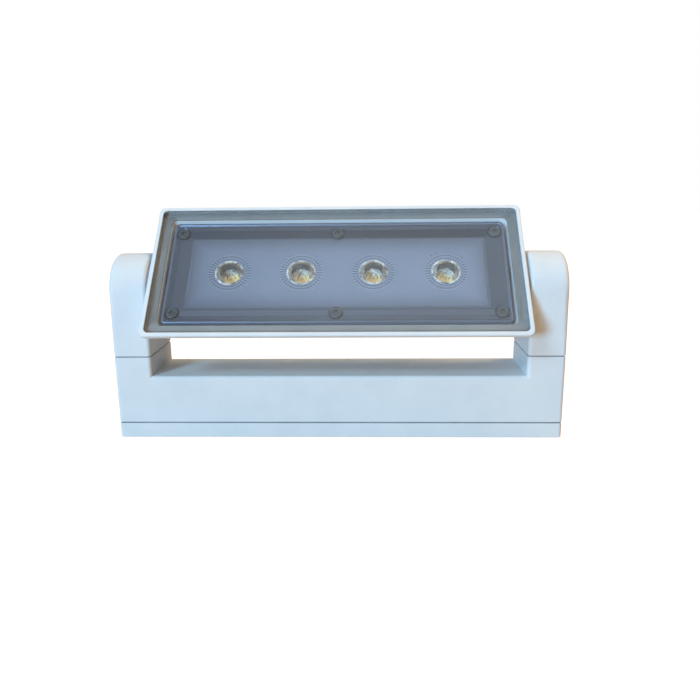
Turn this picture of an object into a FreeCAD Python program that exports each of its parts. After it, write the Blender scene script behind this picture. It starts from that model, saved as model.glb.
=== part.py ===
import FreeCAD, Part
import math
import os
from FreeCAD import Vector

# Outdoor wall light: a tilting four-lens flood head carried between the two arms of a
# U-shaped driver base. Millimetres. X runs along the width, -Y is the front, +Z leaves
# the wall. The origin is the centre of the wall plate's back face.

# Driving dimensions
width = 300.0
depth = 50.0
arm_width = 25.0
plate_height = 10.0
beam_top = 43.0
stub_top = 56.0
pivot_height = 98.0
glass_height = 96.0
face_offset = 25.0
tilt_degrees = 42.0
head_side_gap = 2.0

# Shared details
wall = 3.0
edge_radius = 2.5
seam = 0.8
seam_inset = 0.7
joint_round = 0.5
rim = 3.0
thread_gap = 0.05
hole_gap = 0.25
overrun = 1.0

# Wall plate
wall_hole_inset = 50.0
wall_hole_radius = 2.75
lug_length = 9.0
lug_width = 20.0
lug_rise = 14.0
lug_screw_rise = 7.0

# Cable grommet
cable_radius = 4.5
grommet_radius = 10.0
grommet_flange = 2.5
grommet_recess = 1.2
grommet_lip = 1.5

# Machine screws
m3_radius = 1.5
m4_radius = 2.0
m5_radius = 2.5
head_radius_share = 2.0
head_height_share = 1.2
recess_radius_share = 0.75
recess_depth_share = 0.55
tip_gap = 0.4

# Driver and terminals
driver_length = 104.0
driver_width = 36.0
driver_height = 21.0
driver_centre_x = -56.0
driver_foot = 8.0
driver_foot_thick = 2.0
driver_bite = 2.0
terminal_length = 30.0
terminal_width = 18.0
terminal_height = 14.0
terminal_centre_x = 48.0
terminal_poles = 3
terminal_well_radius = 2.4
terminal_well_depth = 6.0
earth_x = 86.0
earth_boss_radius = 5.0
earth_boss_height = 6.0
earth_bite = 5.0

# Arms
crown_radius = 4.0
arm_wall = 3.5
arm_inner_wall = 4.0
cavity_corner = 4.0
arm_screw_bite = 16.0
arm_post_radius = 4.5
lead_hole_radius = 3.5
arm_blend_steps = 5

# Pivots
tube_radius = 8.0
tube_bore_radius = 4.5
tube_flange_radius = 11.0
tube_flange_thick = 4.0
tube_seal_thick = 1.0
running_gap = 0.06
side_play = 0.05
friction_thick = 1.5
pivot_seal_width = 2.2
pivot_seal_depth = 2.0
ring_gap = 0.4
spring_thick = 1.2
spring_radius = 12.5
nut_thick = 6.0
nut_flats = 24.0
tube_tail = 1.8

# Head housing
frame_edge = 2.5
frame_corner = 4.0
body_taper_share = 0.62
side_draft_share = 0.19
back_plane = 1.2
back_wall = 3.6
ledge_width = 6.0
ledge_depth = 5.0
opening_corner = 4.0
cavity_draft_x_share = 0.06
cavity_draft_z_share = 0.50
barrel_radius = 23.0
barrel_length = 25.4
barrel_wall = 3.5
barrel_bore_radius = 16.0
barrel_end_wall = 4.4
fin_height = 16.8
fin_thick = 2.2
fin_pitch = 10.0
fin_corner = 6.0

# Glass
glass_thick = 4.0
glass_gap = 0.3
glass_corner = 3.0
glass_seal_thick = 1.0

# Lens tray
tray_inset = 8.7
tray_lip_depth = 4.9
tray_lip_width = 1.6
tray_band_depth = 6.0
tray_band_width = 3.8
tray_floor_depth = 7.2
tray_floor_thick = 1.8
tray_slope_x = 7.4
tray_slope_z = 6.1
tray_corner = 3.0
tray_screw_inset_x = 14.8
tray_screw_inset_z = 16.6
tray_seat_radius = 4.3
tray_seat_depth = 7.6
tray_post_radius = 4.2
tray_screw_bite = 8.0

# Lenses and light engine
lens_count = 4
lens_row_inset = 25.0
lens_window_radius = 15.5
lens_window_gap = 0.2
lens_flange_radius = 17.0
lens_flange_thick = 1.5
lens_core_radius = 10.2
lens_foot_radius = 4.0
lens_well_radius = 2.8
lens_well_depth = 4.5
lens_crown = 0.8
lens_rise = 0.3
holder_radius = 16.6
holder_wall = 1.6
board_top = 4.5
board_width = 40.0
board_thick = 1.6
board_screw_inset = 4.5
board_screw_bite = 2.5
pad_thick = 0.5
led_side = 3.5
led_base = 0.9
led_dome_radius = 1.5
connector_length = 8.0
connector_width = 6.0
connector_height = 4.0
connector_z = 12.0
connector_gap = 0.6
connector_margin = 1.25

# Leads
lead_radius = 1.5
lead_bend_share = 0.45

# Worked out from the sizes above
half_width = width / 2
half_depth = depth / 2
arm_inner = half_width - arm_width
housing_base = plate_height + seam
ceiling = beam_top - wall
arm_base = stub_top + seam
arm_centre = half_width - arm_width / 2
half_glass_x = arm_inner - head_side_gap - rim
half_glass_z = glass_height / 2
half_frame_x = half_glass_x + rim
half_frame_z = half_glass_z + rim
barrel_end = arm_inner - friction_thick - 2 * side_play
front = -face_offset
arm_post_inset = wall + head_radius_share * m5_radius + tip_gap
wall_hole_spacing = width - 2 * wall_hole_inset
lens_pitch = 2 * (half_glass_x - lens_row_inset) / lens_count


def rounded_block(low, high, radius):
    """Box from low to high with its four upright (Z) edges rounded."""
    size = high.sub(low)
    box = Part.makeBox(size.x, size.y, size.z, low)
    upright = [e for e in box.Edges if abs(e.Length - size.z) < tip_gap
               and abs(e.tangentAt(e.FirstParameter).z) > abs(e.tangentAt(e.FirstParameter).x)
               and abs(e.tangentAt(e.FirstParameter).z) > abs(e.tangentAt(e.FirstParameter).y)]
    return box.makeFillet(radius, upright)


def rounded_loop(solid, z):
    """The solid with a small round on its edges that lie in the level plane z."""
    loop = [e for e in solid.Edges if e.BoundBox.ZLength < tip_gap and abs(e.CenterOfMass.z - z) < tip_gap]
    return solid.makeFillet(joint_round, loop)


def rounded_wire(half_x, half_z, corner, y):
    """Closed outline in a plane of constant Y: a rectangle with round corners."""
    flat_x = half_x - corner
    flat_z = half_z - corner
    edges = []
    corners = [(flat_x, flat_z, 0), (-flat_x, flat_z, 1), (-flat_x, -flat_z, 2), (flat_x, -flat_z, 3)]
    points = []
    for cx, cz, turn in corners:
        for eighth in (0, 1, 2):
            angle = math.radians(90 * turn + 45 * eighth)
            points.append(Vector(cx + corner * math.cos(angle), y, cz + corner * math.sin(angle)))
    for k in range(len(corners)):
        start, middle, end = points[3 * k:3 * k + 3]
        following = points[(3 * k + 3) % len(points)]
        edges.append(Part.Arc(start, middle, end).toShape())
        edges.append(Part.LineSegment(end, following).toShape())
    return Part.Wire(edges)


def rounded_slab(half_x, half_z, corner, y_front, y_back):
    """Plate with rounded corners, between two planes of constant Y."""
    face = Part.Face(rounded_wire(half_x, half_z, corner, y_front))
    return face.extrude(Vector(0, y_back - y_front, 0))


def tapered_slab(half_x, half_z, corner, y_front, y_back, draft_x, draft_z):
    """Rounded slab that narrows towards the back by the two drafts (mm per mm)."""
    run = y_back - y_front
    front_wire = rounded_wire(half_x, half_z, corner, y_front)
    back_wire = rounded_wire(half_x - draft_x * run, half_z - draft_z * run, corner, y_back)
    return Part.makeLoft([front_wire, back_wire], True, True)


def rod(radius, start, end):
    """Cylinder between two points."""
    run = end.sub(start)
    return Part.makeCylinder(radius, run.Length, start, run)


def ring(inner, outer, start, end):
    """Tube wall between two radii, along the line from start to end."""
    run = end.sub(start)
    unit = Vector(run).normalize()
    bore = rod(inner, start.sub(unit * overrun), end.add(unit * overrun))
    return rod(outer, start, end).cut(bore)


def turned(profile, base, axis, angle=360.0):
    """Solid of revolution of a closed outline."""
    return Part.Face(profile).revolve(base, axis, angle)


def pan_screw(radius, seat, into, bite):
    """Screw with a pan head on its seat and a hexagon recess; 'into' is its driving direction."""
    unit = Vector(into).normalize()
    head_radius = head_radius_share * radius
    head_height = head_height_share * radius
    shank = rod(radius, seat, seat.add(unit * bite))
    head = rod(head_radius, seat.sub(unit * head_height), seat)
    top_edge = [e for e in head.Edges if e.Closed and e.Curve.Center.distanceToPoint(seat) > head_height / 2]
    head = head.makeFillet(head_height / 3, top_edge)
    recess = hexagon_bar(recess_radius_share * radius, seat.sub(unit * (head_height + overrun)),
                         unit, head_height * recess_depth_share + overrun)
    return head.fuse(shank).removeSplitter().cut(recess)


def countersunk_screw(radius, face_point, into, bite):
    """Flat-headed screw, flush with the face it is driven into."""
    unit = Vector(into).normalize()
    head_radius = head_radius_share * radius
    cone = Part.makeCone(head_radius, radius, head_radius - radius, face_point, unit)
    shank = rod(radius, face_point.add(unit * (head_radius - radius)), face_point.add(unit * bite))
    recess = hexagon_bar(recess_radius_share * radius, face_point.sub(unit * overrun),
                         unit, radius + overrun)
    return cone.fuse(shank).removeSplitter().cut(recess)


def hexagon_bar(apothem, start, unit, length):
    """Hexagonal bar from start along unit; apothem is half its width across flats."""
    side = unit.cross(Vector(0, 0, 1))
    if side.Length < 1 / 2:
        side = unit.cross(Vector(1, 0, 0))
    side.normalize()
    up = side.cross(unit)
    reach = apothem / math.cos(math.pi / 6)
    points = []
    for k in range(6):
        angle = math.pi / 3 * k
        points.append(start.add(side * (reach * math.cos(angle))).add(up * (reach * math.sin(angle))))
    points.append(points[0])
    return Part.Face(Part.makePolygon(points)).extrude(unit * length)


def pipe_along(points, radius):
    """Round lead through the points, with tangent arcs at the bends."""
    edges = []
    start = points[0]
    for k in range(1, len(points) - 1):
        before = points[k - 1].sub(points[k])
        after = points[k + 1].sub(points[k])
        turn = math.pi - before.getAngle(after)
        reach = lead_bend_share * min(before.Length, after.Length)
        bend_radius = reach / math.tan(turn / 2)
        print("lead bend radius %.1f" % bend_radius)
        into = points[k].add(before.normalize() * reach)
        out = points[k].add(after.normalize() * reach)
        inward = before.add(after).normalize()
        middle_distance = math.hypot(bend_radius, reach) - bend_radius
        middle = points[k].add(inward * middle_distance)
        edges.append(Part.LineSegment(start, into).toShape())
        edges.append(Part.Arc(into, middle, out).toShape())
        start = out
    edges.append(Part.LineSegment(start, points[-1]).toShape())
    path = Part.Wire(edges)
    first = points[1].sub(points[0])
    circle = Part.Wire(Part.makeCircle(radius, points[0], first))
    return path.makePipeShell([circle], True, False)


def mirrored(shape):
    """The same piece on the other side."""
    return shape.mirror(Vector(0, 0, 0), Vector(1, 0, 0))


def tilted(shape):
    """Turn a piece of the head from its upright working frame to its place on the light."""
    copy = shape.copy()
    copy.rotate(Vector(0, 0, 0), Vector(1, 0, 0), -tilt_degrees)
    copy.translate(Vector(0, 0, pivot_height))
    return copy


def lens_places():
    """X of each lens centre, left to right."""
    return [(k - (lens_count - 1) / 2) * lens_pitch for k in range(lens_count)]


def tray_screw_places():
    """X and Z of the six tray screws: four corners and two at mid length."""
    x = half_glass_x - tray_screw_inset_x
    z = half_glass_z - tray_screw_inset_z
    return [(sx * x, sz * z) for sx in (-1, 0, 1) for sz in (-1, 1)]


def board_screw_places():
    """X and Z of the four light-board screws, between the lenses."""
    z = board_width / 2 - board_screw_inset
    return [(sx * lens_pitch, sz * z) for sx in (-1, 1) for sz in (-1, 1)]


# Wall plate and what it carries


def wall_plate():
    """Shallow cast tray that is screwed to the wall, with a tapped lug at each end."""
    plate = rounded_block(Vector(-half_width, -half_depth, 0),
                          Vector(half_width, half_depth, plate_height), edge_radius)
    plate = rounded_loop(rounded_loop(plate, plate_height), 0)
    inner_x = half_width - wall
    inner_y = half_depth - wall
    hollow = Part.makeBox(2 * inner_x, 2 * inner_y, plate_height, Vector(-inner_x, -inner_y, wall))
    plate = plate.cut(hollow)
    lug = Part.makeBox(lug_length, lug_width, plate_height - wall + lug_rise,
                       Vector(inner_x - lug_length, -lug_width / 2, wall))
    plate = plate.fuse([lug, mirrored(lug)]).removeSplitter()
    screw_z = plate_height + lug_screw_rise
    tapped = rod(m4_radius + thread_gap, Vector(-half_width, 0, screw_z), Vector(half_width, 0, screw_z))
    plate = plate.cut(tapped)
    for side in (-1, 1):
        x = side * wall_hole_spacing / 2
        plate = plate.cut(rod(wall_hole_radius, Vector(x, 0, -overrun), Vector(x, 0, wall + overrun)))
    plate = plate.cut(rod(grommet_radius, Vector(0, 0, -overrun), Vector(0, 0, wall + overrun)))
    recess_radius = grommet_radius + grommet_flange + hole_gap
    return plate.cut(rod(recess_radius, Vector(0, 0, -overrun), Vector(0, 0, grommet_recess)))


def plate_seal():
    """Rubber strip between the wall plate's rim and the housing, set back from the faces."""
    low = Vector(-half_width + seam_inset, -half_depth + seam_inset, plate_height)
    high = Vector(half_width - seam_inset, half_depth - seam_inset, housing_base)
    inner_x = half_width - wall
    inner_y = half_depth - wall
    window = Part.makeBox(2 * inner_x, 2 * inner_y, seam + 2 * overrun,
                          Vector(-inner_x, -inner_y, plate_height - overrun))
    return rounded_block(low, high, edge_radius - seam_inset).cut(window)


def cable_grommet():
    """Rubber grommet that snaps into the plate, where the supply cable comes in from the wall."""
    flange_radius = grommet_radius + grommet_flange
    body = rod(grommet_radius, Vector(0, 0, 0), Vector(0, 0, wall + grommet_lip))
    back = rod(flange_radius, Vector(0, 0, 0), Vector(0, 0, grommet_recess))
    lip = rod(flange_radius, Vector(0, 0, wall), Vector(0, 0, wall + grommet_lip))
    body = body.fuse([back, lip]).removeSplitter()
    return body.cut(rod(cable_radius, Vector(0, 0, -overrun), Vector(0, 0, wall + grommet_lip + overrun)))


# Base housing and what it holds


def arm_screw_places():
    """Y of the two screws that hold each arm."""
    return [side * (half_depth - arm_post_inset) for side in (-1, 1)]


def lead_rise_x():
    """Distance from the centre at which the driver lead climbs through stub and arm."""
    return half_width - arm_wall - lead_hole_radius - ring_gap * 2


def base_housing():
    """Hollow U-shaped casting, open towards the wall plate, with a short stub for each arm."""
    beam = Part.makeBox(2 * arm_centre, depth, beam_top - housing_base,
                        Vector(-arm_centre, -half_depth, housing_base))
    ridges = [e for e in beam.Edges if e.Length > depth and e.CenterOfMass.z > ceiling]
    beam = beam.makeFillet(edge_radius, ridges)
    stub = rounded_block(Vector(arm_inner, -half_depth, housing_base),
                         Vector(half_width, half_depth, stub_top), edge_radius)
    stub = rounded_loop(stub, stub_top)
    housing = rounded_loop(beam.fuse([stub, mirrored(stub)]).removeSplitter(), housing_base)
    inner_x = half_width - wall
    inner_y = half_depth - wall
    hollow = Part.makeBox(2 * inner_x, 2 * inner_y, ceiling - housing_base + overrun,
                          Vector(-inner_x, -inner_y, housing_base - overrun))
    pocket = Part.makeBox(arm_width - 2 * wall, 2 * inner_y, stub_top - wall - housing_base,
                          Vector(arm_inner + wall, -inner_y, housing_base))
    housing = housing.cut(hollow).cut(pocket).cut(mirrored(pocket))
    boss = rod(earth_boss_radius, Vector(earth_x, 0, ceiling - earth_boss_height),
               Vector(earth_x, 0, ceiling + wall / 2))
    housing = housing.fuse(boss).removeSplitter()
    screw_z = plate_height + lug_screw_rise
    head_radius = head_radius_share * m4_radius
    for side in (-1, 1):
        x = side * arm_centre
        for y in arm_screw_places():
            hole = rod(m5_radius + hole_gap, Vector(x, y, stub_top - wall - overrun),
                       Vector(x, y, stub_top + overrun))
            housing = housing.cut(hole)
        rise = side * lead_rise_x()
        housing = housing.cut(rod(lead_hole_radius, Vector(rise, 0, stub_top - wall - overrun),
                                  Vector(rise, 0, stub_top + overrun)))
        outside = Vector(side * half_width, 0, screw_z)
        inward = Vector(-side, 0, 0)
        housing = housing.cut(Part.makeCone(head_radius + thread_gap, m4_radius + thread_gap,
                                            head_radius - m4_radius, outside, inward))
        housing = housing.cut(rod(m4_radius + hole_gap / 2, outside, outside.add(inward * (wall + overrun))))
    for x in driver_screw_places():
        housing = housing.cut(rod(m3_radius + thread_gap, Vector(x, 0, ceiling - overrun),
                                  Vector(x, 0, ceiling + driver_bite + tip_gap)))
    housing = housing.cut(rod(m3_radius + thread_gap, Vector(terminal_centre_x, 0, ceiling - overrun),
                              Vector(terminal_centre_x, 0, ceiling + driver_bite + tip_gap)))
    tapped_from = ceiling - earth_boss_height - overrun
    return housing.cut(rod(m4_radius + thread_gap, Vector(earth_x, 0, tapped_from),
                           Vector(earth_x, 0, ceiling - earth_boss_height + earth_bite + tip_gap)))


def housing_screws():
    """Two countersunk screws through the housing's ends into the plate's lugs."""
    screw_z = plate_height + lug_screw_rise
    bite = wall + lug_length - tip_gap
    right = countersunk_screw(m4_radius, Vector(half_width, 0, screw_z), Vector(-1, 0, 0), bite)
    return Part.makeCompound([right, mirrored(right)])


def driver_screw_places():
    """X of the two driver screws, in its end feet."""
    reach = driver_length / 2 + driver_foot / 2
    return [driver_centre_x - reach, driver_centre_x + reach]


def driver():
    """Potted LED driver under the housing's ceiling, with a foot at each end."""
    low = Vector(driver_centre_x - driver_length / 2, -driver_width / 2, ceiling - driver_height)
    high = Vector(driver_centre_x + driver_length / 2, driver_width / 2, ceiling)
    body = rounded_block(low, high, edge_radius)
    feet = rounded_block(Vector(low.x - driver_foot, -driver_width / 4, ceiling - driver_foot_thick),
                         Vector(high.x + driver_foot, driver_width / 4, ceiling), edge_radius)
    body = body.fuse(feet).removeSplitter()
    for x in driver_screw_places():
        body = body.cut(rod(m3_radius + hole_gap, Vector(x, 0, low.z), Vector(x, 0, beam_top)))
    return body


def driver_screws():
    """The driver's two screws."""
    seat_z = ceiling - driver_foot_thick
    return Part.makeCompound([pan_screw(m3_radius, Vector(x, 0, seat_z), Vector(0, 0, 1),
                                        driver_foot_thick + driver_bite) for x in driver_screw_places()])


def terminal_wells():
    """Centres of the screw wells in the terminal block: two rows, one pair per pole."""
    step = terminal_length / terminal_poles
    row = terminal_width / 4
    places = []
    for k in range(terminal_poles):
        x = terminal_centre_x + (k - (terminal_poles - 1) / 2) * step
        for side in (-1, 1):
            places.append(Vector(x, side * row, ceiling - terminal_height))
    return places


def terminal_block():
    """Supply terminal block, with a screw well for each wire."""
    low = Vector(terminal_centre_x - terminal_length / 2, -terminal_width / 2, ceiling - terminal_height)
    high = Vector(terminal_centre_x + terminal_length / 2, terminal_width / 2, ceiling)
    block = rounded_block(low, high, edge_radius / 2)
    for place in terminal_wells():
        block = block.cut(rod(terminal_well_radius, place.sub(Vector(0, 0, overrun)),
                              place.add(Vector(0, 0, terminal_well_depth))))
    middle = Vector(terminal_centre_x, 0, low.z)
    head = head_radius_share * m3_radius + hole_gap
    seat = middle.add(Vector(0, 0, terminal_height - terminal_well_depth))
    block = block.cut(rod(head, middle.sub(Vector(0, 0, overrun)), seat))
    return block.cut(rod(m3_radius + hole_gap, seat, Vector(terminal_centre_x, 0, beam_top)))


def terminal_screw():
    """Fixing screw in the middle of the terminal block."""
    seat = Vector(terminal_centre_x, 0, ceiling - terminal_well_depth)
    return pan_screw(m3_radius, seat, Vector(0, 0, 1), terminal_well_depth + driver_bite)


def earth_screw():
    """Brass earth screw in its cast boss."""
    seat = Vector(earth_x, 0, ceiling - earth_boss_height)
    return pan_screw(m4_radius, seat, Vector(0, 0, 1), earth_bite)


def driver_lead():
    """Twin lead from the driver up the left arm and into the hollow pivot."""
    rise = -lead_rise_x()
    start_x = driver_centre_x - driver_length / 2
    level = ceiling - driver_height / 2
    points = [Vector(start_x, 0, level), Vector(rise, 0, level), Vector(rise, 0, pivot_height),
              Vector(-arm_inner, 0, pivot_height)]
    return pipe_along(points, lead_radius)


# Arms


def arm_section(x_low, x_high, crown, inner_round, half_y, z):
    """Level outline of an arm: the outer corners have the crown radius, the inner ones less."""
    radii = [crown, crown, inner_round, inner_round]
    outer_x = x_high - crown
    inner_x = x_low + inner_round
    outer_y = half_y - crown
    inner_y = half_y - inner_round
    corners = [(outer_x, outer_y, 0), (outer_x, -outer_y, 3), (inner_x, -inner_y, 2), (inner_x, inner_y, 1)]
    points = []
    for (cx, cy, quarter), radius in zip(corners, radii):
        for eighth in (2, 1, 0):
            angle = math.radians(90 * quarter + 45 * eighth)
            points.append(Vector(cx + radius * math.cos(angle), cy + radius * math.sin(angle), z))
    edges = []
    for k in range(len(corners)):
        start, middle, end = points[3 * k:3 * k + 3]
        following = points[(3 * k + 3) % len(points)]
        edges.append(Part.Arc(start, middle, end).toShape())
        edges.append(Part.LineSegment(end, following).toShape())
    return Part.Wire(edges)


def domed_profile(x_low, x_high, radius, crown, inner_round):
    """Half outline of an arm's round top, to be turned about the pivot axis."""
    top = pivot_height + radius
    bend = math.sqrt(1 / 2)
    low_start = Vector(x_low, 0, pivot_height)
    low_up = Vector(x_low, 0, top - inner_round)
    low_mid = Vector(x_low + inner_round * (1 - bend), 0, top - inner_round * (1 - bend))
    low_top = Vector(x_low + inner_round, 0, top)
    high_top = Vector(x_high - crown, 0, top)
    high_mid = Vector(x_high - crown * (1 - bend), 0, top - crown * (1 - bend))
    high_up = Vector(x_high, 0, top - crown)
    high_start = Vector(x_high, 0, pivot_height)
    edges = [Part.LineSegment(low_start, low_up), Part.Arc(low_up, low_mid, low_top),
             Part.LineSegment(low_top, high_top), Part.Arc(high_top, high_mid, high_up),
             Part.LineSegment(high_up, high_start), Part.LineSegment(high_start, low_start)]
    return Part.Wire([edge.toShape() for edge in edges])


def arm_right():
    """Cast arm cap: a hollow upright with a round top about the pivot axis."""
    sections = []
    for k in range(arm_blend_steps):
        rise_share = k / (arm_blend_steps - 1)
        eased = rise_share * rise_share * (3 - 2 * rise_share)
        corner = edge_radius + (crown_radius - edge_radius) * eased
        z = arm_base + (pivot_height - arm_base) * rise_share
        sections.append(arm_section(arm_inner, half_width, corner, edge_radius, half_depth, z))
    upright = Part.makeLoft(sections, True, False)
    axis_point = Vector(0, 0, pivot_height)
    profile = domed_profile(arm_inner, half_width, half_depth, crown_radius, edge_radius)
    dome = turned(profile, axis_point, Vector(1, 0, 0), 90).fuse(
        turned(profile, axis_point, Vector(-1, 0, 0), 90)).removeSplitter()
    arm = rounded_loop(upright.fuse(dome).removeSplitter(), arm_base)
    hollow_low = arm_inner + arm_inner_wall
    hollow_high = half_width - arm_wall
    hollow_half = half_depth - arm_wall
    hollow = Part.makeBox(hollow_high - hollow_low, 2 * hollow_half, pivot_height - arm_base + overrun,
                          Vector(hollow_low, -hollow_half, arm_base - overrun))
    hollow_profile = domed_profile(hollow_low, hollow_high, hollow_half, cavity_corner, edge_radius)
    hollow_dome = turned(hollow_profile, axis_point, Vector(1, 0, 0), 90).fuse(
        turned(hollow_profile, axis_point, Vector(-1, 0, 0), 90)).removeSplitter()
    arm = arm.cut(hollow).cut(hollow_dome)
    posts = []
    for y in arm_screw_places():
        post = rod(arm_post_radius, Vector(arm_centre, y, arm_base),
                   Vector(arm_centre, y, arm_base + arm_screw_bite + wall))
        web_y = math.copysign(half_depth - wall, y)
        web = Part.makeBox(2 * m5_radius, abs(web_y - y), arm_screw_bite + wall,
                           Vector(arm_centre - m5_radius, min(y, web_y), arm_base))
        posts += [post, web]
    arm = arm.fuse(posts).removeSplitter()
    for y in arm_screw_places():
        arm = arm.cut(rod(m5_radius + thread_gap, Vector(arm_centre, y, arm_base - overrun),
                          Vector(arm_centre, y, arm_base + arm_screw_bite + tip_gap)))
    inner_face = Vector(arm_inner, 0, pivot_height)
    arm = arm.cut(rod(tube_radius + running_gap, inner_face.sub(Vector(overrun, 0, 0)),
                      inner_face.add(Vector(arm_inner_wall + overrun, 0, 0))))
    seal_pocket = tube_radius + ring_gap + pivot_seal_width + side_play
    return arm.cut(rod(seal_pocket, inner_face.sub(Vector(overrun, 0, 0)),
                       inner_face.add(Vector(pivot_seal_depth, 0, 0))))


def arm_seal_right():
    """Rubber gasket between a stub and its arm, set back so that the joint reads as a dark line."""
    low = Vector(arm_inner + seam_inset, -half_depth + seam_inset, stub_top)
    high = Vector(half_width - seam_inset, half_depth - seam_inset, arm_base)
    seal = rounded_block(low, high, edge_radius - seam_inset)
    for y in arm_screw_places():
        seal = seal.cut(rod(m5_radius + hole_gap, Vector(arm_centre, y, stub_top - overrun),
                            Vector(arm_centre, y, arm_base + overrun)))
    return seal.cut(rod(lead_hole_radius, Vector(lead_rise_x(), 0, stub_top - overrun),
                        Vector(lead_rise_x(), 0, arm_base + overrun)))


def arm_screws():
    """Four screws, driven from inside the stubs up into the arms' posts."""
    bite = wall + seam + arm_screw_bite
    seats = [Vector(side * arm_centre, y, stub_top - wall) for side in (-1, 1) for y in arm_screw_places()]
    return Part.makeCompound([pan_screw(m5_radius, seat, Vector(0, 0, 1), bite) for seat in seats])


# Pivots, drawn on the right in the head's own frame (pivot axis through the origin)


def pivot_tube():
    """Hollow pivot: its flange bears inside the head, its thread takes the nut in the arm."""
    seat = barrel_end - barrel_end_wall - tube_seal_thick
    tail = arm_inner + arm_inner_wall + spring_thick + nut_thick + tube_tail
    flange = rod(tube_flange_radius, Vector(seat - tube_flange_thick, 0, 0), Vector(seat, 0, 0))
    tube = rod(tube_radius, Vector(seat, 0, 0), Vector(tail, 0, 0))
    bore_start = seat - tube_flange_thick - overrun
    bore = rod(tube_bore_radius, Vector(bore_start, 0, 0), Vector(tail + overrun, 0, 0))
    return flange.fuse(tube).removeSplitter().cut(bore)


def tube_seals():
    """Rubber washers under the two tube flanges."""
    seat = barrel_end - barrel_end_wall
    right = ring(tube_radius + thread_gap, tube_flange_radius, Vector(seat - tube_seal_thick, 0, 0),
                 Vector(seat, 0, 0))
    return Part.makeCompound([right, mirrored(right)])


def spring_washer():
    """Spring washer that keeps the tilt stiff, between arm and nut."""
    start = Vector(arm_inner + arm_inner_wall, 0, 0)
    end = start.add(Vector(spring_thick, 0, 0))
    return ring(tube_radius + thread_gap, spring_radius, start, end)


def pivot_nut():
    """Thin hexagon nut on the pivot tube."""
    start = arm_inner + arm_inner_wall + spring_thick
    nut = hexagon_bar(nut_flats / 2, Vector(start, 0, 0), Vector(1, 0, 0), nut_thick)
    return nut.cut(rod(tube_radius + thread_gap, Vector(start - overrun, 0, 0),
                       Vector(start + nut_thick + overrun, 0, 0)))


def friction_washer():
    """Washer between the head's end barrel and the arm."""
    start = barrel_end + side_play
    washer = ring(tube_radius + ring_gap, barrel_radius - seam_inset, Vector(start, 0, 0),
                  Vector(start + friction_thick, 0, 0))
    washer.translate(Vector(0, 0, pivot_height))
    return washer


def pivot_seals():
    """Rubber sealing rings round the pivot tubes, in the arms' inner walls."""
    inner = tube_radius + ring_gap
    right = ring(inner, inner + pivot_seal_width, Vector(arm_inner + side_play, 0, pivot_height),
                 Vector(arm_inner + pivot_seal_depth, 0, pivot_height))
    return Part.makeCompound([right, mirrored(right)])


# Head housing, in the head's own frame: face to -Y, pivot axis along X through the origin


def fin(x):
    """One cooling fin across the back, tapering with the body."""
    half_root = half_frame_z - body_taper_share * (back_plane - front - frame_edge)
    half_tip = half_root - body_taper_share * fin_height
    root = back_plane - back_wall / 2
    tip = back_plane + fin_height
    outline = [Vector(x - fin_thick / 2, root, half_root + body_taper_share * back_wall / 2),
               Vector(x - fin_thick / 2, tip, half_tip),
               Vector(x - fin_thick / 2, tip, -half_tip),
               Vector(x - fin_thick / 2, root, -half_root - body_taper_share * back_wall / 2)]
    outline.append(outline[0])
    plate = Part.Face(Part.makePolygon(outline)).extrude(Vector(fin_thick, 0, 0))
    tips = [e for e in plate.Edges if abs(e.Length - fin_thick) < tip_gap
            and e.CenterOfMass.y > back_plane + fin_height / 2]
    return plate.makeFillet(fin_corner, tips)


def fin_places():
    """X of the cooling fins, spread over the space between the end barrels."""
    span = barrel_end - barrel_length - fin_pitch / 2
    steps = int(span / fin_pitch)
    return [k * fin_pitch for k in range(-steps, steps + 1)]


def head_housing():
    """Cast head: a thin front rim, walls that taper to the back, end barrels and cooling fins."""
    edge_back = front + frame_edge
    lip = rounded_slab(half_frame_x, half_frame_z, frame_corner, front, edge_back)
    lip = lip.makeFillet(frame_edge / 3, [e for e in lip.Edges if e.CenterOfMass.y < front + tip_gap])
    shell = tapered_slab(half_frame_x, half_frame_z, frame_corner, edge_back, back_plane,
                         side_draft_share, body_taper_share)
    barrel = rod(barrel_radius, Vector(barrel_end - barrel_length, 0, 0), Vector(barrel_end, 0, 0))
    barrels = [barrel, mirrored(barrel)]
    housing = lip.fuse([shell] + barrels + [fin(x) for x in fin_places()]).removeSplitter()
    ledge = front + ledge_depth
    pocket = rounded_slab(half_glass_x + glass_gap, half_glass_z + glass_gap, glass_corner + glass_gap,
                          front - overrun, ledge)
    cavity_back = back_plane - back_wall
    cavity = tapered_slab(half_glass_x - ledge_width, half_glass_z - ledge_width, opening_corner,
                          ledge, cavity_back, cavity_draft_x_share, cavity_draft_z_share)
    throat = rounded_slab(half_glass_x - ledge_width, half_glass_z - ledge_width, opening_corner,
                          ledge - overrun, ledge)
    bore_start = barrel_end - barrel_length + barrel_wall
    well = rod(barrel_bore_radius, Vector(bore_start, 0, 0), Vector(barrel_end - barrel_end_wall, 0, 0))
    housing = housing.cut(pocket).cut(throat).cut(cavity).cut(well).cut(mirrored(well))
    posts = []
    tray_back = front + tray_floor_depth + tray_floor_thick
    for x, z in tray_screw_places():
        foot = cavity_back + back_wall / 2 if x == 0 else back_plane
        posts.append(rod(tray_post_radius, Vector(x, tray_back, z), Vector(x, foot, z)))
    housing = housing.fuse(posts).removeSplitter()
    for x, z in tray_screw_places():
        housing = housing.cut(rod(m4_radius + thread_gap, Vector(x, tray_back - overrun, z),
                                  Vector(x, tray_back + tray_screw_bite + tip_gap, z)))
    for x, z in board_screw_places():
        housing = housing.cut(rod(m3_radius + thread_gap, Vector(x, cavity_back - overrun, z),
                                  Vector(x, cavity_back + board_screw_bite + tip_gap, z)))
    return housing.cut(rod(tube_radius + thread_gap, Vector(-half_width, 0, 0), Vector(half_width, 0, 0)))


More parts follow.
